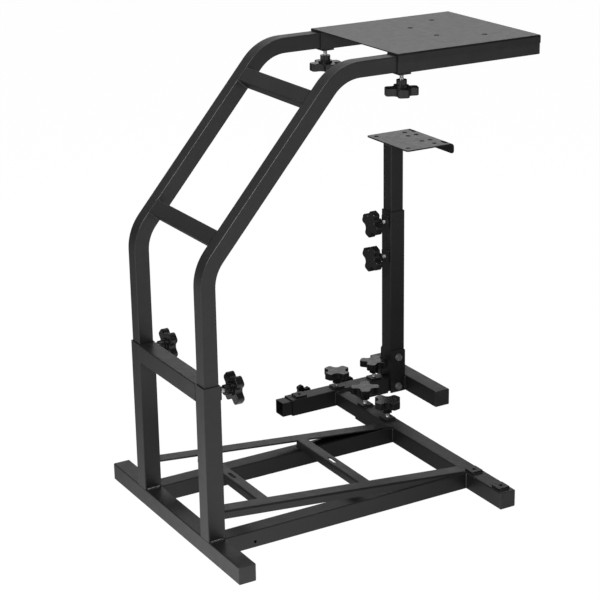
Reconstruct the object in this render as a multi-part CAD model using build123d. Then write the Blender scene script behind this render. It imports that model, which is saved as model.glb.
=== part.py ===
from build123d import *
import os
from math import atan, cos, degrees, hypot, radians, sin, tan

os.makedirs("parts", exist_ok=True)

# Frame: millimetres, +Z up, +Y away from the driver, +X to the driver's right.
# The origin is on the floor, under the middle of the front foot bar.

# Tube stock: the shifter's tubes are one size up from the frame's
big = 35.0
shift_big = 37.0
wall = 1.5
outer_round = 2.0
inner_round = 0.5
slide_gap = 1.0
small = big - 2 * (wall + slide_gap)
shift_small = shift_big - 2 * (wall + slide_gap)

# Base frame
bar_length = 535.0
base_length = 615.0
upright_span = 304.0
upright_top = 340.0
cap_thick = 3.0
cap_plug = 14.0
cap_plug_wall = 2.0
cap_play = 0.2
cap_edge = 1.0
rail_hole_r = 3.0
rail_hole_back = 62.0
rail_hole_z = 12.0

# Sloping pedal deck, folded from angle
deck_front_height = 90.0
deck_rear_rise = 1.4
angle_wall = 2.5
angle_bend = 1.5
deck_rail_width = 30.0
deck_rail_leg = 16.0
slat_width = 25.0
slat_height = 15.0
front_slat_back = 96.0
rear_slat_back = 323.5
slot_length = 28.0
slot_width = 8.0

# Bent tubes that carry the wheel plate
slope_angle = 49.3
bend_radius = 85.0
slope_foot_z = 555.5
tube_insert = 150.0
leg_insert = 220.0
lower_bar_up = 59.0
upper_bar_down = 69.0

# Wheel plate
plate_top = 900.0
plate_thick = 2.0
plate_depth = 320.0
plate_front_y = -396.0
plate_flange = 15.0
plate_bend = 1.5
wheel_hole_r = 5.5
front_hole_gap = 88.9
rear_hole_gap = 177.8
front_hole_back = 158.0
hole_row_gap = 79.4

# Weld pads and star knobs
pad_side = 25.0
pad_thick = 4.0
stud_r = 4.0
thread_play = 0.05
stud_show = 10.5
stud_grip = 10.0
tip_gap = 0.4
hub_r = 9.8
hub_high = 14.0
hub_flutes = 8
flute_r = 1.9
flute_depth = 1.2
collar_r = 13.5
collar_high = 3.5
star_across = 62.0
star_lobe = 22.0
star_tip_round = 6.5
star_thick = 15.0
star_hollow = 9.0
star_edge = 1.0
upright_knob_drop = 17.0
upright_knob_turn = 46.0
plate_knob_back = 20.0
left_plate_knob_turn = 24.0
right_plate_knob_turn = 6.0
rear_pad_pitch = 89.5
left_pad_inset = 25.0
right_pad_inset = 13.5
rear_outer_knob_turn = 60.0
rear_inner_knob_turn = 12.0

# Shifter arm and its sleeve
arm_insert = 162.0
arm_reach = 86.5
sleeve_length = 250.0
sleeve_pad_pitch = 98.0
middle_knob_turn = 17.0
middle_knob_show = 7.0
rear_knob_turn = 46.0
side_knob_scale = 0.667
side_knob_show = 3.0
side_knob_turn = 70.0
side_knob_forward = 67.0
side_knob_pitch = 113.0
side_knob_z = 22.2
side_pad_side = 22.0

# Shifter slide, foot and post
slide_front_stub = 23.5
foot_left_reach = 144.5
foot_right_reach = 127.0
foot_gap = 5.6
bracket_wide = 38.0
bracket_thick = 3.0
bracket_top = 102.0
bracket_round = 6.0
post_back_gap = 0.5
bracket_high_bolt = 84.0
bracket_low_bolt = 14.0
bolt_r = 4.0
bolt_play = 0.2
bolt_head_flats = 13.0
bolt_head_high = 5.3
washer_r = 8.0
washer_thick = 1.6
post_top = 427.0
post_high_knob = 25.0
post_low_knob = 105.0
post_high_knob_turn = 70.0
post_low_knob_turn = 65.0
post_insert = 187.0

# Shifter plate
shift_plate_top = 580.0
shift_plate_width = 163.0
shift_plate_depth = 122.0
shift_plate_thick = 3.0
shift_plate_bend = 6.0
shift_plate_flange = 24.0
shift_plate_corner = 6.0
shift_flange_corner = 7.0
shift_plate_lead = 1.5
shift_hole_r = 5.5
corner_hole_gap = 126.0
corner_hole_front = 14.0
corner_hole_rows = 96.0
corner_slot_length = 24.0
inner_hole_gap = 55.0
inner_hole_front = 74.5
inner_hole_rows = 21.5
outer_hole_gap = 116.5
outer_hole_front = 86.0

# Worked-out places
half = big / 2
shift_half = shift_big / 2
side_x = upright_span / 2 - half
rear_y = -(base_length - big)
rear_face_y = rear_y + half
upright_back_y = -half
deck_run = upright_back_y - rear_face_y
deck_slope = atan((deck_front_height - big - deck_rear_rise) / deck_run)
leg_z = plate_top - plate_thick - half
slope = radians(slope_angle)
slope_run = (leg_z - slope_foot_z) / tan(slope)
slope_length = hypot(slope_run, leg_z - slope_foot_z)
plate_width = upright_span + 2 * plate_thick
sleeve_x = bar_length / 2 + arm_reach + shift_half
sleeve_front_y = rear_y + sleeve_length / 2
sleeve_back_y = rear_y - sleeve_length / 2
bracket_front_y = sleeve_back_y - foot_gap
bracket_back_y = bracket_front_y - bracket_wide
post_y = bracket_back_y + shift_half + post_back_gap
shift_front_y = post_y + shift_small / 2 + shift_plate_lead


def save(node, shape):
    """Write one node; a list of separate solids becomes one compound."""
    solid = Compound(children=list(shape)) if isinstance(shape, list) else shape
    export_step(solid, f"parts/{node}.step")


def ring(size, thick, corner):
    """Section of a square tube with rounded corners."""
    inside = RectangleRounded(size - 2 * thick, size - 2 * thick, inner_round)
    return RectangleRounded(size, size, corner) - inside


def tube(size, length):
    """Square tube along +Z from the origin."""
    return extrude(ring(size, wall, outer_round), length)


def angle(web, leg):
    """Section of a folded angle: the web's top is at Y = 0 and the leg goes down at +X."""
    outside = Pos(0, -leg / 2) * Rectangle(web, leg)
    inside = Pos(-angle_wall, -angle_wall - leg / 2) * Rectangle(web, leg)
    outside = fillet(outside.vertices().group_by(Axis.Y)[-1].sort_by(Axis.X)[-1], angle_bend + angle_wall)
    inside = fillet(inside.vertices().group_by(Axis.Y)[-1].sort_by(Axis.X)[-1], angle_bend)
    return outside - inside


def along_x(x, y, z):
    """Place whose +Z runs along the world's +X."""
    return Location(Plane(origin=(x, y, z), x_dir=(0, 1, 0), z_dir=(1, 0, 0)))


def along_back(x, y, z):
    """Place whose +Z runs along the world's -Y, toward the driver."""
    return Location(Plane(origin=(x, y, z), x_dir=(1, 0, 0), z_dir=(0, -1, 0)))


def facing(point, normal, spin=0.0):
    """Place on a tube's face, with +Z out of the face and a turn about it."""
    side = (1, 0, 0) if abs(normal[0]) < 0.5 else (0, 1, 0)
    return Location(Plane(origin=point, x_dir=side, z_dir=normal)) * Rot(0, 0, spin)


def add_pad(body, place, side=pad_side):
    """Weld a square pad to a tube's face and drill the thread through both."""
    pad = place * Pos(0, 0, pad_thick / 2) * Box(side, side, pad_thick)
    hole = place * Cylinder(stud_r + thread_play, 2 * (pad_thick + 2 * wall))
    return body + pad - hole


def knob(place, scale=1.0, show=stud_show):
    """Four-lobed star on a fluted hub; the place is on the tube's face, +Z out of it."""
    hub_z = pad_thick + show
    high = hub_high * scale
    arm = RectangleRounded(star_across * scale, star_lobe * scale, star_tip_round * scale)
    cross = arm + Rot(0, 0, 90) * arm
    inner = sorted(cross.vertices(), key=lambda vertex: hypot(vertex.X, vertex.Y))[:4]
    cross = fillet(inner, star_hollow * scale)
    star = Pos(0, 0, hub_z + high) * extrude(cross, star_thick * scale)
    rims = star.faces().filter_by(Axis.Z)
    star = chamfer([edge for face in rims for edge in face.edges()], star_edge * scale)
    hub = Pos(0, 0, hub_z + high / 2) * Cylinder(hub_r * scale, high)
    flute = Pos(0, 0, hub_z + high / 2) * Cylinder(flute_r * scale, high)
    for spot in PolarLocations((hub_r + flute_r - flute_depth) * scale, hub_flutes):
        hub -= spot * flute
    collar = Pos(0, 0, hub_z + high - collar_high * scale / 2)
    collar = collar * Cylinder(collar_r * scale, collar_high * scale)
    bore = Pos(0, 0, hub_z + stud_grip * scale / 2) * Cylinder(stud_r + thread_play, stud_grip * scale)
    return place * (star + hub + collar - bore)


def stud(place, scale=1.0, show=stud_show):
    """Plain shank from just short of the clamped tube to the bottom of the knob's bore."""
    tip = tip_gap - wall - slide_gap
    length = pad_thick + show + stud_grip * scale - tip
    return place * Pos(0, 0, tip + length / 2) * Cylinder(stud_r, length)


def end_cap(place, size=big):
    """Moulded cap: a square lid with a hollow plug, its lid's outer face toward +Z."""
    lid = extrude(RectangleRounded(size, size, outer_round), cap_thick)
    lid = chamfer(lid.faces().sort_by(Axis.Z)[-1].edges(), cap_edge)
    inside = size - 2 * wall - 2 * cap_play
    plug = Pos(0, 0, -cap_plug) * extrude(ring(inside, cap_plug_wall, inner_round), cap_plug)
    return place * (lid + plug)


# Base frame
front_bar = along_x(-bar_length / 2 + cap_thick, 0, half) * tube(big, bar_length - 2 * cap_thick)
save("front_foot_bar", front_bar)

rear_bar = along_x(-bar_length / 2 + cap_thick, rear_y, half) * tube(big, bar_length - cap_thick)
left_outer_pad_x = bar_length / 2 - left_pad_inset
right_outer_pad_x = bar_length / 2 - right_pad_inset
left_inner_pad_x = left_outer_pad_x - rear_pad_pitch
right_inner_pad_x = right_outer_pad_x - rear_pad_pitch
for x in (-left_outer_pad_x, -left_inner_pad_x, right_inner_pad_x, right_outer_pad_x):
    rear_bar = add_pad(rear_bar, facing((x, rear_y, big), (0, 0, 1)))
save("rear_foot_bar", rear_bar)

front_cap_left = end_cap(facing((-bar_length / 2 + cap_thick, 0, half), (-1, 0, 0)))
front_cap_right = end_cap(facing((bar_length / 2 - cap_thick, 0, half), (1, 0, 0)))
rear_cap_left = end_cap(facing((-bar_length / 2 + cap_thick, rear_y, half), (-1, 0, 0)))
save("foot_bar_caps", [front_cap_left, front_cap_right, rear_cap_left])

upright_pads = {}
for side, sign in (("left", -1), ("right", 1)):
    x = sign * side_x
    rail = along_back(x, upright_back_y, half) * tube(big, deck_run)
    drill = along_x(sign * upright_span / 2, upright_back_y - rail_hole_back, rail_hole_z)
    rail -= drill * Cylinder(rail_hole_r, 4 * wall)
    save(f"{side}_base_rail", rail)

    upright = Pos(x, 0, big) * tube(big, upright_top - big)
    pad_point = (x, upright_back_y, upright_top - upright_knob_drop)
    upright = add_pad(upright, facing(pad_point, (0, -1, 0)))
    upright_pads[side] = facing(pad_point, (0, -1, 0), upright_knob_turn)
    save(f"{side}_upright", upright)

cross_length = upright_span - 2 * big
cross_bar = along_x(-cross_length / 2, 0, upright_top - half) * tube(big, cross_length)
save("upright_cross_bar", cross_bar)


# Sloping pedal deck: the rails run down from the uprights and feather out on the base rails
def deck_place(x, back):
    """Place on the deck's top plane, +X lateral, +Z out of the deck."""
    z = deck_front_height - tan(deck_slope) * back
    return Pos(x, upright_back_y - back, z) * Rot(degrees(deck_slope), 0, 0)


rail_length = deck_run / cos(deck_slope) + 2 * deck_rail_leg
rail_section = angle(deck_rail_width, deck_rail_leg)
lie_back = Pos(0, deck_rail_leg, 0) * Rot(90, 0, 0)
deck_rail = deck_place(side_x, 0) * lie_back * extrude(rail_section, rail_length)
room = Box(2 * deck_rail_width, deck_run, deck_front_height, align=(Align.CENTER, Align.MAX, Align.MIN))
deck_rail = deck_rail & Pos(side_x, upright_back_y, big) * room
save("right_deck_rail", deck_rail)
save("left_deck_rail", mirror(deck_rail, Plane.YZ))

slat_length = 2 * side_x - deck_rail_width
slot = Pos(0, 0, -2 * slat_height) * extrude(SlotOverall(slot_length, slot_width), 4 * slat_height)
for name, back in (("front", front_slat_back), ("rear", rear_slat_back)):
    slat = along_x(-slat_length / 2, 0, 0) * extrude(angle(slat_width, slat_height), slat_length)
    save(f"{name}_deck_slat", deck_place(0, back) * (slat - slot))

# Star knobs of the base
save("left_upright_knob", knob(upright_pads["left"]))
save("right_upright_knob", knob(upright_pads["right"]))
outer_place = facing((right_outer_pad_x, rear_y, big), (0, 0, 1), rear_outer_knob_turn)
inner_place = facing((right_inner_pad_x, rear_y, big), (0, 0, 1), rear_inner_knob_turn)
save("rear_bar_outer_knob", knob(outer_place))
save("rear_bar_inner_knob", knob(inner_place))
base_places = [upright_pads["left"], upright_pads["right"], outer_place, inner_place]
save("base_knob_studs", [stud(place) for place in base_places])

# Bent tubes: up out of the uprights, back along the slope, then level under the wheel plate
tube_foot_z = upright_top - tube_insert
leg_end_y = plate_front_y - leg_insert
bent_path = FilletPolyline(
    (0, tube_foot_z),
    (0, slope_foot_z),
    (-slope_run, leg_z),
    (leg_end_y, leg_z),
    radius=bend_radius,
)
for side, sign in (("left", -1), ("right", 1)):
    path = Pos(sign * side_x, 0, 0) * (Plane.YZ * bent_path)
    section = Pos(sign * side_x, 0, tube_foot_z) * ring(small, wall, outer_round)
    save(f"{side}_bent_tube", sweep(section, path=path))

frame_bar_length = 2 * side_x - small
for name, distance in (("lower", lower_bar_up), ("upper", slope_length - upper_bar_down)):
    y = -distance * cos(slope)
    z = slope_foot_z + distance * sin(slope)
    turned = along_x(-frame_bar_length / 2, y, z) * Rot(0, 0, -slope_angle)
    save(f"{name}_frame_bar", turned * tube(small, frame_bar_length))

# Wheel plate: a sheet folded down over its two sleeves
fold_out = plate_bend + plate_thick
skin = Pos(0, -plate_flange / 2) * Rectangle(plate_width, plate_flange)
skin = fillet(skin.vertices().group_by(Axis.Y)[-1], fold_out)
void = Pos(0, -plate_thick - plate_flange) * Rectangle(plate_width - 2 * plate_thick, 2 * plate_flange)
void = fillet(void.vertices().group_by(Axis.Y)[-1], plate_bend)
sheet = Pos(0, plate_front_y, plate_top) * Rot(90, 0, 0) * extrude(skin - void, plate_depth)
for gap, back in ((front_hole_gap, front_hole_back), (rear_hole_gap, front_hole_back + hole_row_gap)):
    for x in (-gap / 2, gap / 2):
        sheet -= Pos(x, plate_front_y - back, plate_top) * Cylinder(wheel_hole_r, 4 * plate_thick)
save("wheel_plate", sheet)

plate_pads = {}
for side, sign, turn in (("left", -1, left_plate_knob_turn), ("right", 1, right_plate_knob_turn)):
    x = sign * side_x
    sleeve = along_back(x, plate_front_y, leg_z) * tube(big, plate_depth)
    pad_point = (x, plate_front_y - plate_knob_back, leg_z - half)
    sleeve = add_pad(sleeve, facing(pad_point, (0, 0, -1)))
    plate_pads[side] = facing(pad_point, (0, 0, -1), turn)
    save(f"{side}_plate_sleeve", sleeve)
    save(f"{side}_plate_knob", knob(plate_pads[side]))
save("plate_knob_studs", [stud(plate_pads["left"]), stud(plate_pads["right"])])

# Shifter arm: it slides in the rear foot bar and carries the slide's sleeve
arm_start_x = bar_length / 2 - arm_insert
arm = along_x(arm_start_x, rear_y, half) * tube(small, sleeve_x - shift_half - arm_start_x)
save("shifter_arm_tube", arm)

slide_sleeve = along_back(sleeve_x, sleeve_front_y, shift_half) * tube(shift_big, sleeve_length)
for y in (rear_y + sleeve_pad_pitch, rear_y, rear_y - sleeve_pad_pitch):
    slide_sleeve = add_pad(slide_sleeve, facing((sleeve_x, y, shift_big), (0, 0, 1)))
side_places = []
for forward in (side_knob_forward, side_knob_forward - side_knob_pitch):
    side_point = (sleeve_x + shift_half, rear_y + forward, side_knob_z)
    slide_sleeve = add_pad(slide_sleeve, facing(side_point, (1, 0, 0)), side_pad_side)
    side_places.append(facing(side_point, (1, 0, 0), side_knob_turn))
save("slide_sleeve", slide_sleeve)

middle_place = facing((sleeve_x, rear_y, shift_big), (0, 0, 1), middle_knob_turn)
rear_place = facing((sleeve_x, rear_y - sleeve_pad_pitch, shift_big), (0, 0, 1), rear_knob_turn)
save("sleeve_middle_knob", knob(middle_place, show=middle_knob_show))
save("sleeve_rear_knob", knob(rear_place))
sleeve_studs = [stud(middle_place, show=middle_knob_show), stud(rear_place)]
for name, place in zip(("sleeve_side_knob", "sleeve_side_rear_knob"), side_places):
    save(name, knob(place, side_knob_scale, side_knob_show))
    sleeve_studs.append(stud(place, side_knob_scale, side_knob_show))
save("sleeve_knob_studs", sleeve_studs)

# Shifter slide: inner tube, cross foot, bracket and post
slide_front_y = sleeve_front_y + slide_front_stub
slide_length = slide_front_y - bracket_back_y
slide_tube = along_back(sleeve_x, slide_front_y, shift_half) * tube(shift_small, slide_length)
low_bolt = along_x(sleeve_x, post_y, bracket_low_bolt)
high_bolt = along_x(sleeve_x, post_y, bracket_high_bolt)
bolt_hole = Cylinder(bolt_r + bolt_play, 2 * shift_big)
save("slide_tube", slide_tube - low_bolt * bolt_hole)

foot_y = bracket_back_y - shift_half
foot_left_x = sleeve_x - foot_left_reach
foot_right_x = sleeve_x + foot_right_reach
foot_tube = tube(shift_big, foot_right_x - foot_left_x - 2 * cap_thick)
save("shifter_foot_bar", along_x(foot_left_x + cap_thick, foot_y, shift_half) * foot_tube)
foot_cap_left = end_cap(facing((foot_left_x + cap_thick, foot_y, shift_half), (-1, 0, 0)), shift_big)
foot_cap_right = end_cap(facing((foot_right_x - cap_thick, foot_y, shift_half), (1, 0, 0)), shift_big)
save("shifter_foot_caps", [foot_cap_left, foot_cap_right])

cheek = Rectangle(bracket_wide, bracket_top, align=(Align.CENTER, Align.MIN))
cheek = fillet(cheek.vertices().group_by(Axis.Y)[-1], bracket_round)
cheek_y = (bracket_front_y + bracket_back_y) / 2
cheeks = []
for x in (sleeve_x - shift_half - bracket_thick, sleeve_x + shift_half):
    plate = along_x(x, cheek_y, 0) * extrude(cheek, bracket_thick)
    cheeks.append(plate - low_bolt * bolt_hole - high_bolt * bolt_hole)
save("post_brackets", cheeks)

grip = shift_big + 2 * bracket_thick
head = extrude(RegularPolygon(bolt_head_flats / 2, 6, major_radius=False), bolt_head_high)
washer = extrude(Circle(washer_r), washer_thick)
end = Pos(0, 0, grip / 2) * (washer + Pos(0, 0, washer_thick) * head)
bolt = Cylinder(bolt_r, grip) + end + mirror(end, Plane.XY)
save("bracket_bolts", [low_bolt * bolt, high_bolt * bolt])

post_foot_z = shift_half + shift_small / 2
post = Pos(sleeve_x, post_y, post_foot_z) * tube(shift_big, post_top - post_foot_z)
post_places = {}
post_knobs = (
    ("high", post_high_knob, post_high_knob_turn),
    ("low", post_low_knob, post_low_knob_turn),
)
for name, drop, turn in post_knobs:
    pad_point = (sleeve_x, post_y + shift_half, post_top - drop)
    post = add_pad(post, facing(pad_point, (0, 1, 0)))
    post_places[name] = facing(pad_point, (0, 1, 0), turn)
save("post_sleeve", post - high_bolt * bolt_hole)
save("post_high_knob", knob(post_places["high"]))
save("post_low_knob", knob(post_places["low"]))
save("post_knob_studs", [stud(place) for place in post_places.values()])

# Shifter post: inner tube and the plate on its top
post_tube_z = post_top - post_insert
post_tube_top = shift_plate_top - shift_plate_thick
save("post_tube", Pos(sleeve_x, post_y, post_tube_z) * tube(shift_small, post_tube_top - post_tube_z))

fold = shift_plate_bend + shift_plate_thick
outside = Rectangle(shift_plate_depth, shift_plate_flange, align=(Align.MAX, Align.MAX))
outside = fillet(outside.vertices().group_by(Axis.Y)[-1].sort_by(Axis.X)[0], fold)
inside = Pos(shift_plate_thick, -shift_plate_thick) * Rectangle(
    2 * shift_plate_depth, 2 * shift_plate_flange, align=(Align.MIN, Align.MAX)
)
inside = Pos(-shift_plate_depth, 0) * inside
inside = fillet(inside.vertices().group_by(Axis.Y)[-1].sort_by(Axis.X)[0], shift_plate_bend)
lay = along_x(sleeve_x - shift_plate_width / 2, shift_front_y, shift_plate_top)
shift_plate = lay * extrude(outside - inside, shift_plate_width)
front_corners = shift_plate.edges().filter_by(Axis.Z).group_by(Axis.Y)[-1]
shift_plate = fillet(front_corners, shift_plate_corner)
flange_corners = shift_plate.edges().filter_by(Axis.Y).group_by(Axis.Z)[0]
shift_plate = fillet(flange_corners, shift_flange_corner)
shift_holes = (
    (corner_hole_gap, corner_hole_front),
    (inner_hole_gap, inner_hole_front),
    (inner_hole_gap, inner_hole_front + inner_hole_rows),
    (outer_hole_gap, outer_hole_front),
)
for gap, back in shift_holes:
    for x in (sleeve_x - gap / 2, sleeve_x + gap / 2):
        drill = Pos(x, shift_front_y - back, shift_plate_top)
        shift_plate -= drill * Cylinder(shift_hole_r, 4 * shift_plate_thick)
corner_slot = extrude(SlotOverall(corner_slot_length, 2 * shift_hole_r), 4 * shift_plate_thick)
for x in (sleeve_x - corner_hole_gap / 2, sleeve_x + corner_hole_gap / 2):
    slot_y = shift_front_y - corner_hole_front - corner_hole_rows
    shift_plate -= Pos(x, slot_y, shift_plate_top - 2 * shift_plate_thick) * corner_slot
save("shifter_plate", shift_plate)
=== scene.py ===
from math import cos, pi, radians, sin, sqrt

import bpy
from mathutils import Matrix, Vector


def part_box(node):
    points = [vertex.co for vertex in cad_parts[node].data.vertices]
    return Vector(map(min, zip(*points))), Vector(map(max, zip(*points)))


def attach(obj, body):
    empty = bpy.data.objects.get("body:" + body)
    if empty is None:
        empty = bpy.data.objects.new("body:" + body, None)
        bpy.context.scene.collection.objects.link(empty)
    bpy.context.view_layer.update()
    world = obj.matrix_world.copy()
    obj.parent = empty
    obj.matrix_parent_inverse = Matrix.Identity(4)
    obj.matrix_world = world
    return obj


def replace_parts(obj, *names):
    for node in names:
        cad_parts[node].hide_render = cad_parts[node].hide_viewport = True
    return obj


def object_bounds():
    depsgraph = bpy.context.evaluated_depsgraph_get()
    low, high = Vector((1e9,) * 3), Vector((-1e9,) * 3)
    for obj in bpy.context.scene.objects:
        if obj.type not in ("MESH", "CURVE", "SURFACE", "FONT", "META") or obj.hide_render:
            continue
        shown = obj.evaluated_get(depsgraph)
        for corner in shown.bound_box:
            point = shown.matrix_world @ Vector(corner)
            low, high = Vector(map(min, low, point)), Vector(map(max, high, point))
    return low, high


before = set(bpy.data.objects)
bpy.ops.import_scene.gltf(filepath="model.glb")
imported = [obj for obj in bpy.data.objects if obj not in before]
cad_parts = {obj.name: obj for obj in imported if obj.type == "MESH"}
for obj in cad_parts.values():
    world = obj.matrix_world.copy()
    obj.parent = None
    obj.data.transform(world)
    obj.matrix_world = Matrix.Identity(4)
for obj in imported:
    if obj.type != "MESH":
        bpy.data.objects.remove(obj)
cad_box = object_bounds()

# Camera, in metres and degrees, with the lens in millimetres
camera_place = Vector((-2.8146, 1.3541, 1.5472))
camera_aim = Vector((-0.0968, -0.2168, 0.450))
camera_roll = -0.94
camera_lens = 107.46

# Finishes, in linear colour
tube_black = (0.007, 0.007, 0.007)
tube_black_light = (0.010, 0.010, 0.010)
plate_black = (0.008, 0.0079, 0.0077)
plate_black_light = (0.010, 0.0099, 0.0097)
knob_black = (0.005, 0.005, 0.0052)
knob_black_light = (0.008, 0.008, 0.0083)
# The weld colours are lighter than the tube coat: a painted highlight, so that the beads catch light
weld_painted_highlight_black = (0.016, 0.016, 0.016)
weld_painted_highlight_black_light = (0.024, 0.024, 0.024)
cap_black = (0.016, 0.016, 0.0165)
cap_black_light = (0.022, 0.022, 0.0225)
bolt_grey = (0.18, 0.18, 0.185)
bolt_grey_light = (0.32, 0.32, 0.325)
zinc_bright = (0.95, 0.95, 0.96)
zinc_dull = (0.80, 0.81, 0.83)

# Unevenness: the range of a noise that is used, and what it adds to a finish's roughness
colour_range = (0.35, 0.65)
rough_range = (0.3, 0.7)
coat_unevenness = 0.06
plastic_unevenness = 0.10
steel_unevenness = 0.12

# Room in reflections: 1 is white, and a light fades between an edge's two cosines or sines
backdrop_direction = (0.87, -0.5, 0.0)
backdrop_edge = (0.60, 0.90)
backdrop_strength = 1.60
front_edge = (-0.70, -0.20)
front_strength = 0.58
band_low_edge = (0.16, 0.28)
band_low_share = 0.12
band_high_edge = (0.36, 0.47)
band_high_share = 0.05
room_strength = 0.08
fill_strength = 0.25

# Floor, in metres: in reflections it glows with a painted pool of light, whose lit side fades out
# between two distances from the middle
floor_half = 12.0
floor_drop = 0.0005
floor_colour = 0.85
floor_rough = 0.9
floor_glow = 0.95
floor_white = 1.03
lit_side = (-0.7, 0.71, 0.0)
lit_edge = (-0.5, 0.18)
lit_strength = 1.05
unlit_strength = 0.13

# Lamps, in metres and watts
overhead_place, overhead_aim = (0.2, -0.4, 2.8), (0.0, -0.35, 0.3)
overhead_size, overhead_power = 1.6, 22.0
key_place, key_aim = (-0.9, 1.5, 2.2), (-0.1, -0.1, 0.2)
key_size, key_power = 1.2, 60.0

# Welds and threads, in metres
weld_size = 0.0022
foot_weld_size = 0.0045
pad_weld_size = 0.0014
stitch_size = 0.0016
stitch_length = 0.014
stitch_front = 0.034
stitch_rear = 0.043
ripple_pitch = 0.0024
ripple_height = 0.16
corner_inset = 0.0025
under_plate_drop = 0.001
thread_pitch = 0.00125
thread_depth = 0.00065
shank_reach = 0.035

# Fineness of the beads and threads; a bead's end shrinks to the square root of bead_tip
bead_sides = 8
bead_steps_per_ripple = 4
bead_least_steps = 12
bead_tip = 0.05
thread_sides = 16
thread_steps_per_turn = 6

# Sizes shared with the CAD, in metres and degrees
frame_bar_size = 0.030
frame_bar_slope = 49.3
plate_sheet = 0.002
deck_leg = 0.016
pad_side = 0.025
side_pad_side = 0.022
pad_thick = 0.004
left_pad_inset = 0.025
rear_pad_pitch = 0.0895


class Shader:
    """A new material with short calls for the nodes that the finishes share."""

    def __init__(self, name):
        self.material = bpy.data.materials.new(name)
        self.material.use_nodes = True
        self.tree = self.material.node_tree
        self.surface = self.tree.nodes["Principled BSDF"]
        self.place = self.tree.nodes.new("ShaderNodeTexCoord").outputs["Object"]

    def noise(self, scale, detail=2.0):
        node = self.tree.nodes.new("ShaderNodeTexNoise")
        node.inputs["Scale"].default_value = scale
        node.inputs["Detail"].default_value = detail
        self.tree.links.new(self.place, node.inputs["Vector"])
        return node.outputs["Fac"]

    def ramp(self, factor, low, high):
        node = self.tree.nodes.new("ShaderNodeValToRGB")
        first, last = node.color_ramp.elements
        first.position, last.position = colour_range
        first.color, last.color = (*low, 1.0), (*high, 1.0)
        self.tree.links.new(factor, node.inputs["Fac"])
        return node.outputs["Color"]

    def spread(self, factor, low, high):
        node = self.tree.nodes.new("ShaderNodeMapRange")
        node.inputs["From Min"].default_value, node.inputs["From Max"].default_value = rough_range
        node.inputs["To Min"].default_value = low
        node.inputs["To Max"].default_value = high
        self.tree.links.new(factor, node.inputs["Value"])
        return node.outputs["Result"]

    def bump(self, height, strength, distance, under=None):
        node = self.tree.nodes.new("ShaderNodeBump")
        node.inputs["Strength"].default_value = strength
        node.inputs["Distance"].default_value = distance
        self.tree.links.new(height, node.inputs["Height"])
        if under is not None:
            self.tree.links.new(under, node.inputs["Normal"])
        return node.outputs["Normal"]

    def connect(self, value, socket):
        self.tree.links.new(value, self.surface.inputs[socket])

    def fix(self, **values):
        for socket, value in values.items():
            self.surface.inputs[socket.replace("_", " ")].default_value = value


def powder_coat(name, dark, light, grain, rough, shine):
    """Satin black powder: slight orange peel over a fine grain, uneven in sheen."""
    shader = Shader(name)
    shader.connect(shader.ramp(shader.noise(scale=9.0, detail=4.0), dark, light), "Base Color")
    sheen = shader.noise(scale=60.0, detail=3.0)
    shader.connect(shader.spread(sheen, rough, rough + coat_unevenness), "Roughness")
    peel = shader.bump(shader.noise(scale=420.0, detail=1.0), strength=0.08, distance=0.0002)
    fine = shader.bump(shader.noise(scale=grain), strength=0.15, distance=0.0001, under=peel)
    shader.connect(fine, "Normal")
    shader.fix(Specular_IOR_Level=shine)
    return shader.material


def moulded_plastic(name, dark, light, rough, shine):
    """Moulded black plastic with a spark-eroded grain and faint flow marks."""
    shader = Shader(name)
    shader.connect(shader.ramp(shader.noise(scale=35.0, detail=3.0), dark, light), "Base Color")
    sheen = shader.noise(scale=110.0, detail=3.0)
    shader.connect(shader.spread(sheen, rough, rough + plastic_unevenness), "Roughness")
    grain = shader.bump(shader.noise(scale=2600.0), strength=0.20, distance=0.0001)
    shader.connect(grain, "Normal")
    shader.fix(Specular_IOR_Level=shine)
    return shader.material


def bare_steel(name, dull, bright, rough, metal):
    """Plated or blackened steel, a little cloudy."""
    shader = Shader(name)
    shader.connect(shader.ramp(shader.noise(scale=180.0, detail=4.0), dull, bright), "Base Color")
    sheen = shader.noise(scale=500.0, detail=3.0)
    shader.connect(shader.spread(sheen, rough, rough + steel_unevenness), "Roughness")
    grain = shader.bump(shader.noise(scale=3000.0), strength=0.15, distance=0.00005)
    shader.connect(grain, "Normal")
    shader.fix(Metallic=metal)
    return shader.material


# The weld coat is glossier than the tubes' (real), and its colour is lifted as a painted highlight
weld_finish_with_painted_highlight = powder_coat(
    "weld_powder_coat_painted_highlight", weld_painted_highlight_black, weld_painted_highlight_black_light, grain=2400.0, rough=0.22, shine=0.75)
tube_finish = powder_coat(
    "tube_powder_coat", tube_black, tube_black_light, grain=2400.0, rough=0.40, shine=0.53)
plate_finish = powder_coat(
    "plate_powder_coat", plate_black, plate_black_light, grain=1800.0, rough=0.27, shine=0.34)
knob_finish = moulded_plastic("knob_plastic", knob_black, knob_black_light, rough=0.22, shine=0.47)
cap_finish = moulded_plastic("cap_plastic", cap_black, cap_black_light, rough=0.44, shine=0.55)
bolt_finish = bare_steel("bolt_steel", bolt_grey, bolt_grey_light, rough=0.26, metal=0.6)
zinc_finish = bare_steel("zinc_steel", zinc_dull, zinc_bright, rough=0.16, metal=0.35)


def finish_of(node):
    """The finish of a CAD node, by what its name says it is."""
    if node.endswith("_knob"):
        return knob_finish
    if node.endswith("_caps"):
        return cap_finish
    if node.endswith("_bolts"):
        return bolt_finish
    if node.endswith("_studs"):
        return zinc_finish
    if node in ("wheel_plate", "shifter_plate"):
        return plate_finish
    return tube_finish


for name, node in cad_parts.items():
    for slot in node.material_slots:
        slot.material = finish_of(name)


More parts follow.
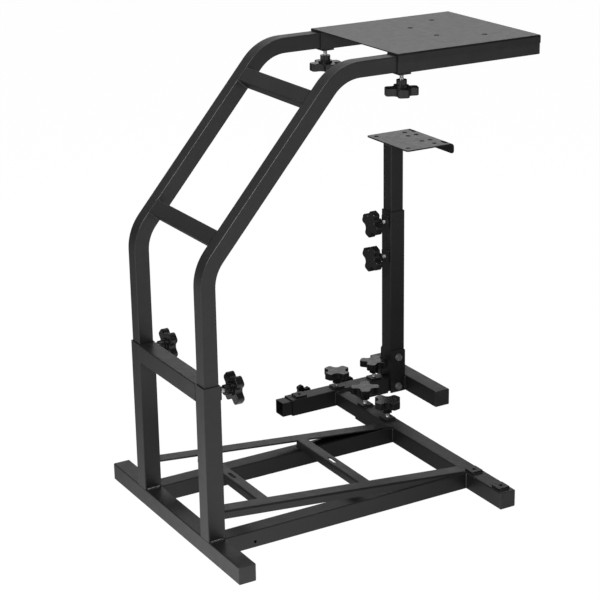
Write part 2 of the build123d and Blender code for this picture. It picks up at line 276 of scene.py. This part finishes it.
class Grid:
    """A mesh gathered from closed skins, each a run of rings with the same number of points."""

    def __init__(self):
        self.points = []
        self.faces = []

    def add_skin(self, rings):
        first = len(self.points)
        sides = len(rings[0])
        for ring in rings:
            self.points.extend(ring)
        for row in range(len(rings) - 1):
            base = first + row * sides
            for i in range(sides):
                j = (i + 1) % sides
                self.faces.append((base + i, base + j, base + sides + j, base + sides + i))
        last = first + (len(rings) - 1) * sides
        self.faces.append(tuple(range(first + sides - 1, first - 1, -1)))
        self.faces.append(tuple(range(last, last + sides)))

    def put(self, name, material, body):
        mesh = bpy.data.meshes.new(name)
        mesh.from_pydata(self.points, [], self.faces)
        mesh.polygons.foreach_set("use_smooth", [True] * len(mesh.polygons))
        mesh.materials.append(material)
        piece = bpy.data.objects.new(name, mesh)
        bpy.context.scene.collection.objects.link(piece)
        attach(piece, body)
        return piece


def cross_axes(along):
    """Two unit vectors square to a direction."""
    side = along.orthogonal().normalized()
    return side, along.cross(side)


def add_bead(grid, start, end, size):
    """A weld bead on the straight joint from start to end: rippled, with rounded ends."""
    start, end = Vector(start), Vector(end)
    length = (end - start).length
    along = (end - start) / length
    side, up = cross_axes(along)
    angles = [2 * pi * i / bead_sides for i in range(bead_sides)]
    steps = max(bead_least_steps, round(length / (ripple_pitch / bead_steps_per_ripple)))
    rings = []
    for step in range(steps + 1):
        reach = length * step / steps
        to_end = min(reach, length - reach, size) / size
        taper = sqrt(max(bead_tip, to_end * (2 - to_end)))
        radius = size * taper * (1 - ripple_height * abs(cos(pi * reach / ripple_pitch)))
        centre = start + along * reach
        rings.append([centre + (side * cos(a) + up * sin(a)) * radius for a in angles])
    grid.add_skin(rings)


def middle(node):
    """The middle of a CAD node's box."""
    low, high = (Vector(corner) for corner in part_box(node))
    return (low + high) / 2


def add_pad_beads(grid, centre, along, across, side=pad_side):
    """Beads on the two edges of a weld pad that lie across its tube."""
    for sign in (-1, 1):
        edge = centre + along * (sign * side / 2)
        reach = across * (side / 2 - corner_inset)
        add_bead(grid, edge - reach, edge + reach, pad_weld_size)


axis_x, axis_y, axis_z = Vector((1, 0, 0)), Vector((0, 1, 0)), Vector((0, 0, 1))

# Welds of the base
base = Grid()
bar_low, bar_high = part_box("front_foot_bar")
rear_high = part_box("rear_foot_bar")[1]
rear_top = rear_high[2] - pad_thick
for side, outer in (("left", 0), ("right", 1)):
    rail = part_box(f"{side}_base_rail")
    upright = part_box(f"{side}_upright")
    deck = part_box(f"{side}_deck_rail")
    rail_bottom, rail_top = rail[0][2] + corner_inset, rail[1][2] - corner_inset
    for x in (rail[0][0], rail[1][0]):
        for y in (rail[0][1], rail[1][1]):
            add_bead(base, (x, y, rail_bottom), (x, y, rail_top), weld_size)
    for x in (upright[0][0], upright[1][0]):
        front, back = bar_high[1] - corner_inset, bar_low[1] + corner_inset
        add_bead(base, (x, back, bar_high[2]), (x, front, bar_high[2]), foot_weld_size)
    left, right = upright[0][0] + corner_inset, upright[1][0] - corner_inset
    add_bead(base, (left, bar_low[1], bar_high[2]), (right, bar_low[1], bar_high[2]), weld_size)
    deck_left, deck_right = deck[0][0], deck[1][0]
    deck_back, deck_front, deck_top = deck[0][1], deck[1][1], deck[1][2]
    add_bead(base, (deck_left, deck_front, deck_top), (deck_right, deck_front, deck_top), pad_weld_size)
    leg_x = deck[outer][0]
    leg_top = (leg_x, deck_front, deck_top - corner_inset)
    add_bead(base, (leg_x, deck_front, deck_top - deck_leg), leg_top, pad_weld_size)
    add_bead(base, (deck_left, deck_back, rear_top), (deck_right, deck_back, rear_top), pad_weld_size)
    knob_place = middle(f"{side}_upright_knob")
    knob_place.y = bar_low[1]
    add_pad_beads(base, knob_place, axis_z, axis_x)
cross_low, cross_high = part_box("upright_cross_bar")
for x in (cross_low[0], cross_high[0]):
    front, back = cross_high[1] - corner_inset, cross_low[1] + corner_inset
    add_bead(base, (x, back, cross_low[2]), (x, front, cross_low[2]), weld_size)
left_pad_x = cad_box[0][0] + left_pad_inset
rear_pads = [middle("rear_bar_outer_knob").x, middle("rear_bar_inner_knob").x]
for x in rear_pads + [left_pad_x, left_pad_x + rear_pad_pitch]:
    add_pad_beads(base, Vector((x, middle("rear_foot_bar").y, rear_top)), axis_x, axis_y)
base.put("base_welds", weld_finish_with_painted_highlight, "base")

# Welds of the wheel frame: the bars' faces that look up and down the slope
wheel_frame = Grid()
down_slope = Vector((0, cos(radians(frame_bar_slope)), -sin(radians(frame_bar_slope))))
off_slope = Vector((0, sin(radians(frame_bar_slope)), cos(radians(frame_bar_slope))))
for node in ("lower_frame_bar", "upper_frame_bar"):
    low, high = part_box(node)
    for x in (low[0], high[0]):
        for sign in (-1, 1):
            centre = middle(node) + down_slope * (sign * frame_bar_size / 2)
            centre.x = x
            reach = off_slope * (frame_bar_size / 2 - corner_inset)
            add_bead(wheel_frame, centre - reach, centre + reach, weld_size)
wheel_frame.put("wheel_frame_welds", weld_finish_with_painted_highlight, "wheel_frame")

# Welds of the wheel deck: stitches under the plate's edges, and the pads
wheel_deck = Grid()
plate_low, plate_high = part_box("wheel_plate")
for side, x in (("left", plate_low[0] + plate_sheet), ("right", plate_high[0] - plate_sheet)):
    for y in (plate_high[1] - stitch_front, plate_low[1] + stitch_rear):
        start = (x, y - stitch_length / 2, plate_low[2])
        end = (x, y + stitch_length / 2, plate_low[2])
        add_bead(wheel_deck, start, end, stitch_size)
    pad_place = middle(f"{side}_plate_knob")
    pad_place.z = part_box(f"{side}_plate_sleeve")[0][2] + pad_thick
    add_pad_beads(wheel_deck, pad_place, axis_y, axis_x)
wheel_deck.put("wheel_deck_welds", weld_finish_with_painted_highlight, "wheel_deck")

# Welds of the shifter arm
arm = Grid()
arm_low, arm_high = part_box("shifter_arm_tube")
sleeve_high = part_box("slide_sleeve")[1]
for z in (arm_low[2], arm_high[2]):
    front, back = arm_high[1] - corner_inset, arm_low[1] + corner_inset
    add_bead(arm, (arm_high[0], back, z), (arm_high[0], front, z), weld_size)
for y in (arm_low[1], arm_high[1]):
    bottom, top = arm_low[2] + corner_inset, arm_high[2] - corner_inset
    add_bead(arm, (arm_high[0], y, bottom), (arm_high[0], y, top), weld_size)
middle_pad = middle("sleeve_middle_knob")
rear_pad = middle("sleeve_rear_knob")
for place in (middle_pad, rear_pad, middle_pad * 2 - rear_pad):
    add_pad_beads(arm, Vector((place.x, place.y, sleeve_high[2] - pad_thick)), axis_y, axis_x)
for node in ("sleeve_side_knob", "sleeve_side_rear_knob"):
    place = middle(node)
    place.x = sleeve_high[0] - pad_thick
    add_pad_beads(arm, place, axis_y, axis_z, side_pad_side)
arm.put("shifter_arm_welds", weld_finish_with_painted_highlight, "shifter_arm")

# Welds of the shifter slide
slide = Grid()
cheek_low, cheek_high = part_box("post_brackets")
foot_low, foot_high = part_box("shifter_foot_bar")
for x in (cheek_low[0], cheek_high[0]):
    bottom, top = foot_low[2] + corner_inset, foot_high[2] - corner_inset
    add_bead(slide, (x, foot_high[1], bottom), (x, foot_high[1], top), weld_size)
for node in ("post_high_knob", "post_low_knob"):
    place = middle(node)
    place.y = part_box("post_sleeve")[1][1] - pad_thick
    add_pad_beads(slide, place, axis_z, axis_x)
slide.put("shifter_slide_welds", weld_finish_with_painted_highlight, "shifter_slide")

# Welds of the shifter post, all round the tube under its plate
post = Grid()
post_low, post_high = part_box("post_tube")
left, right = post_low[0] + corner_inset, post_high[0] - corner_inset
back, front = post_low[1] + corner_inset, post_high[1] - corner_inset
under_plate = post_high[2] - under_plate_drop
for y in (post_low[1], post_high[1]):
    add_bead(post, (left, y, under_plate), (right, y, under_plate), weld_size)
for x in (post_low[0], post_high[0]):
    add_bead(post, (x, back, under_plate), (x, front, under_plate), weld_size)
post.put("shifter_post_welds", weld_finish_with_painted_highlight, "shifter_post")


def shanks(node):
    """Ends and radius of each straight shank in a CAD node, from its vertices."""
    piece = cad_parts[node]
    groups = []
    for vertex in piece.data.vertices:
        point = piece.matrix_world @ vertex.co
        for group in groups:
            if (group[0] - point).length < shank_reach:
                group.append(point)
                break
        else:
            groups.append([point])
    found = []
    for group in groups:
        low = Vector([min(point[i] for point in group) for i in range(3)])
        high = Vector([max(point[i] for point in group) for i in range(3)])
        size = high - low
        long_axis = max(range(3), key=lambda i: size[i])
        start, end = (low + high) / 2, (low + high) / 2
        start[long_axis], end[long_axis] = low[long_axis], high[long_axis]
        found.append((start, end, min(size) / 2))
    return found


def add_thread(grid, start, end, radius):
    """A threaded rod: the radius follows a helix of V-shaped turns."""
    length = (end - start).length
    along = (end - start) / length
    side, up = cross_axes(along)
    steps = round(length / (thread_pitch / thread_steps_per_turn))
    rings = []
    for step in range(steps + 1):
        reach = length * step / steps
        centre = start + along * reach
        ring = []
        for i in range(thread_sides):
            turn = (reach / thread_pitch - i / thread_sides) % 1.0
            depth = thread_depth * abs(2 * turn - 1)
            angle = 2 * pi * i / thread_sides
            ring.append(centre + (side * cos(angle) + up * sin(angle)) * (radius - depth))
        rings.append(ring)
    grid.add_skin(rings)


stud_bodies = {
    "base_knob_studs": "base",
    "plate_knob_studs": "wheel_deck",
    "sleeve_knob_studs": "shifter_arm",
    "post_knob_studs": "shifter_slide",
}
for node, body in stud_bodies.items():
    rods = Grid()
    for start, end, radius in shanks(node):
        add_thread(rods, start, end, radius)
    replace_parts(rods.put(node.replace("studs", "threads"), zinc_finish, body), node)


def add_camera():
    """A camera at the photograph's angle, aimed at the middle of the stand."""
    data = bpy.data.cameras.new("camera")
    data.lens = camera_lens
    camera = bpy.data.objects.new("camera", data)
    look = (camera_aim - camera_place).to_track_quat("-Z", "Y").to_matrix().to_4x4()
    roll = Matrix.Rotation(radians(camera_roll), 4, "Z")
    camera.matrix_world = Matrix.Translation(camera_place) @ look @ roll
    bpy.context.scene.collection.objects.link(camera)
    bpy.context.scene.camera = camera


def area_light(name, place, aim, size, power):
    """A round soft lamp."""
    data = bpy.data.lights.new(name, "AREA")
    data.shape = "DISK"
    data.size = size
    data.energy = power
    light = bpy.data.objects.new(name, data)
    light.location = place
    light.rotation_mode = "QUATERNION"
    light.rotation_quaternion = (Vector(aim) - Vector(place)).to_track_quat("-Z", "Y")
    bpy.context.scene.collection.objects.link(light)


def smooth_step(tree, value, edge, low, high):
    """A value that goes smoothly from low to high between the two ends of an edge."""
    node = tree.nodes.new("ShaderNodeMapRange")
    node.interpolation_type = "SMOOTHSTEP"
    sockets = {"From Min": edge[0], "From Max": edge[1], "To Min": low, "To Max": high}
    for socket, number in sockets.items():
        node.inputs[socket].default_value = number
    tree.links.new(value, node.inputs["Value"])
    return node.outputs["Result"]


def arithmetic(tree, operation, first, second):
    """A sum on two values, each a number or another node's output."""
    node = tree.nodes.new("ShaderNodeMath")
    node.operation = operation
    for socket, value in zip(node.inputs, (first, second)):
        if isinstance(value, float):
            socket.default_value = value
        else:
            tree.links.new(value, socket)
    return node.outputs["Value"]


def distance_along(tree, vector, direction):
    """How far a vector goes in a direction."""
    node = tree.nodes.new("ShaderNodeVectorMath")
    node.operation = "DOT_PRODUCT"
    node.inputs[1].default_value = direction
    tree.links.new(vector, node.inputs[0])
    return node.outputs["Value"]


def add_floor():
    """A white studio floor with a faint shadow; in reflections it glows with a painted pool of light on
    the front left.
    """
    mesh = bpy.data.meshes.new("floor")
    signs = ((-1, -1), (1, -1), (1, 1), (-1, 1))
    mesh.from_pydata([(x * floor_half, y * floor_half, 0) for x, y in signs], [], [(0, 1, 2, 3)])
    floor = bpy.data.objects.new("floor", mesh)
    floor.location = (0, 0, -floor_drop)
    bpy.context.scene.collection.objects.link(floor)

    material = bpy.data.materials.new("floor_white")
    material.use_nodes = True
    tree = material.node_tree
    surface = tree.nodes["Principled BSDF"]
    surface.inputs["Base Color"].default_value = (floor_colour, floor_colour, floor_colour, 1.0)
    surface.inputs["Roughness"].default_value = floor_rough
    surface.inputs["Specular IOR Level"].default_value = 0.0
    path = tree.nodes.new("ShaderNodeLightPath").outputs
    place = tree.nodes.new("ShaderNodeNewGeometry").outputs["Position"]
    # Painted light: a glow that is brighter towards the front left and dim elsewhere, seen only in
    # reflections
    toward_light = distance_along(tree, place, lit_side)
    painted_pool_of_light = smooth_step(tree, toward_light, lit_edge, unlit_strength, lit_strength)
    glow = tree.nodes.new("ShaderNodeEmission")
    white = arithmetic(tree, "MULTIPLY", path["Is Camera Ray"], floor_white)
    tree.links.new(arithmetic(tree, "MAXIMUM", white, painted_pool_of_light), glow.inputs["Strength"])
    seen = arithmetic(tree, "MAXIMUM", path["Is Camera Ray"], path["Is Glossy Ray"])
    mix = tree.nodes.new("ShaderNodeMixShader")
    tree.links.new(arithmetic(tree, "MULTIPLY", seen, floor_glow), mix.inputs["Fac"])
    tree.links.new(surface.outputs[0], mix.inputs[1])
    tree.links.new(glow.outputs[0], mix.inputs[2])
    tree.links.new(mix.outputs[0], tree.nodes["Material Output"].inputs["Surface"])
    mesh.materials.append(material)


def add_world():
    """White to the camera; in reflections a lit band behind the stand and a dimmer one before it."""
    world = bpy.data.worlds.new("studio")
    world.use_nodes = True
    tree = world.node_tree
    background = tree.nodes["Background"]
    background.inputs["Color"].default_value = (1.0, 1.0, 1.0, 1.0)
    path = tree.nodes.new("ShaderNodeLightPath").outputs
    toward = tree.nodes.new("ShaderNodeTexCoord").outputs["Generated"]
    rise = distance_along(tree, toward, axis_z)
    away = distance_along(tree, toward, backdrop_direction)
    behind = smooth_step(tree, away, backdrop_edge, 0.0, backdrop_strength)
    before = smooth_step(tree, away, front_edge, front_strength, 0.0)
    above_low = smooth_step(tree, rise, band_low_edge, band_low_share, 1.0)
    below_high = smooth_step(tree, rise, band_high_edge, 1.0, band_high_share)
    behind = arithmetic(tree, "MULTIPLY", behind, above_low)
    band = arithmetic(tree, "MULTIPLY", arithmetic(tree, "MAXIMUM", behind, before), below_high)
    reflected = tree.nodes.new("ShaderNodeMix")
    reflected.data_type = "FLOAT"
    reflected.inputs["A"].default_value = fill_strength
    tree.links.new(path["Is Glossy Ray"], reflected.inputs["Factor"])
    tree.links.new(arithmetic(tree, "MAXIMUM", band, room_strength), reflected.inputs["B"])
    seen = arithmetic(tree, "MAXIMUM", path["Is Camera Ray"], path["Is Transmission Ray"])
    strength = arithmetic(tree, "MAXIMUM", seen, reflected.outputs["Result"])
    tree.links.new(strength, background.inputs["Strength"])
    bpy.context.scene.world = world


add_camera()
add_floor()
add_world()
area_light("overhead", overhead_place, overhead_aim, overhead_size, overhead_power)
area_light("key", key_place, key_aim, key_size, key_power)
bpy.context.scene.view_settings.view_transform = "Standard"
